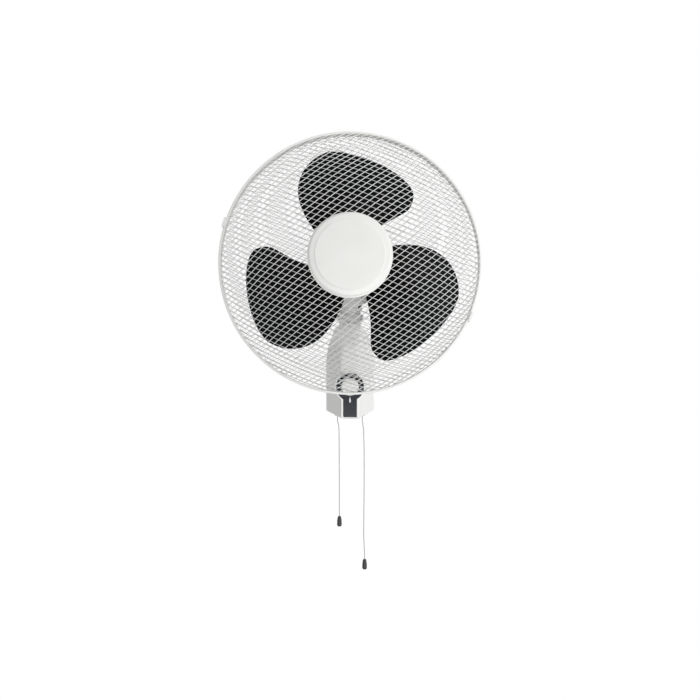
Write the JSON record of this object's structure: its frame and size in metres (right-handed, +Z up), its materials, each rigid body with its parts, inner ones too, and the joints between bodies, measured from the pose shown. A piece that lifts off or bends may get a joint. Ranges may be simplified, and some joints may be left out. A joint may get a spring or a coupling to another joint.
{
  "type": "wall mounted fan",
  "caption": "Wall mounted fan with a round wire mesh guard, smoked blades, a tilting and swinging head, and a tapered base with a dial and two pull cords.",
  "frame": {"origin": "centre of the wall bracket's back face, on the wall", "axes": "+Z up, -Y towards the room (the way the fan faces), +X to the right for someone facing the fan"},
  "size_m": [0.43, 0.3301, 0.7685],
  "materials": {
    "white_plastic": "satin moulded",
    "white_wire": "powder coated wire",
    "dark_panel": "gloss",
    "smoked_plastic": "smoked gloss",
    "steel": "zinc plated",
    "cast_metal": "cast",
    "copper_wire": "enamelled",
    "bronze": "sintered",
    "nylon": "natural",
    "string": "braided",
    "rubber": "matt"
  },
  "bodies": {
    "base": {"wall_bracket": "steel", "base_back_cover": "white_plastic", "base_housing": "white_plastic", "front_panel": "dark_panel", "speed_switch": "dark_panel", "swing_switch": "dark_panel", "speed_cord_bush": "rubber", "swing_cord_bush": "rubber", "terminal_block": "nylon", "capacitor": "white_plastic", "cord_gland": "rubber", "back_screw_left": "steel", "back_screw_right": "steel", "tilt_bolt": "steel", "tilt_nut": "steel"},
    "neck": {"swivel_neck": "cast_metal"},
    "head": {"motor_rear_cover": "white_plastic", "front_bell": "cast_metal", "rear_bell": "cast_metal", "stator": "steel", "front_winding": "copper_wire", "rear_winding": "copper_wire", "front_bush": "bronze", "rear_bush": "bronze", "motor_bolt_1": "steel", "motor_bolt_2": "steel", "motor_bolt_3": "steel", "motor_bolt_4": "steel", "swing_motor": "steel", "rear_grille": "white_wire", "grille_nut": "nylon", "front_grille": "white_wire", "hub_badge": "white_plastic", "badge_screw_left": "steel", "badge_screw_right": "steel", "rim_clip_left": "white_plastic", "rim_clip_right": "white_plastic", "cover_screw": "steel", "pivot_set_screw": "steel"},
    "rotor": {"shaft": "steel", "rotor_core": "steel", "fan_blade": "smoked_plastic", "blade_nut": "smoked_plastic"},
    "swing_crank": {"swing_crank": "nylon"},
    "swing_link": {"swing_link": "steel"},
    "speed_pull": {"speed_cord": "string", "speed_toggle": "rubber"},
    "swing_pull": {"swing_cord": "string", "swing_toggle": "rubber"},
    "speed_lever": {"speed_lever": "nylon"},
    "swing_lever": {"swing_lever": "nylon"},
    "speed_dial": {"speed_dial": "white_plastic"}
  },
  "joints": [
    {"name": "head_tilt", "type": "hinge", "parent": "base", "child": "neck", "pos_m": [0, -0.142, 0.072], "axis": [1, 0, 0], "range_deg": [-5, 20]},
    {"name": "head_swing", "type": "hinge", "parent": "neck", "child": "head", "pos_m": [0, -0.142, 0.1], "axis": [0, 0, 1], "range_deg": [-45, 45]},
    {"name": "rotor_spin", "type": "hinge", "parent": "head", "child": "rotor", "pos_m": [0, -0.235, 0.15], "axis": [0, 1, 0], "continuous": true},
    {"name": "crank_turn", "type": "hinge", "parent": "head", "child": "swing_crank", "pos_m": [0, -0.106, 0.095], "axis": [0, 0, 1], "range_deg": [-91, 91]},
    {"name": "link_turn", "type": "hinge", "parent": "neck", "child": "swing_link", "pos_m": [0.01131, -0.142, 0.0925], "axis": [0, 0, 1], "range_deg": [-46, 46]},
    {"name": "speed_pull", "type": "slide", "parent": "base", "child": "speed_pull", "axis": [0, 0, -1], "range_m": [0, 0.012], "stiffness_N_per_m": 300, "springref_m": -0.01},
    {"name": "swing_pull", "type": "slide", "parent": "base", "child": "swing_pull", "axis": [0, 0, -1], "range_m": [0, 0.012], "stiffness_N_per_m": 300, "springref_m": -0.01},
    {"name": "speed_lever_turn", "type": "hinge", "parent": "base", "child": "speed_lever", "pos_m": [-0.0105, -0.034, -0.084], "axis": [0, -1, 0], "range_deg": [0, 62]},
    {"name": "swing_lever_turn", "type": "hinge", "parent": "base", "child": "swing_lever", "pos_m": [0.0105, -0.034, -0.084], "axis": [0, 1, 0], "range_deg": [0, 62]},
    {"name": "dial_turn", "type": "hinge", "parent": "base", "child": "speed_dial", "pos_m": [0, -0.07, -0.051], "axis": [0, 1, 0], "range_deg": [0, 270]}
  ],
  "couplings": [
    {"joint": "crank_turn", "follows": "head_swing", "ratio": -2},
    {"joint": "link_turn", "follows": "head_swing", "ratio": 1},
    {"joint": "speed_lever_turn", "follows": "speed_pull", "rad_per_m": 72.7},
    {"joint": "swing_lever_turn", "follows": "swing_pull", "rad_per_m": 72.7}
  ]
}
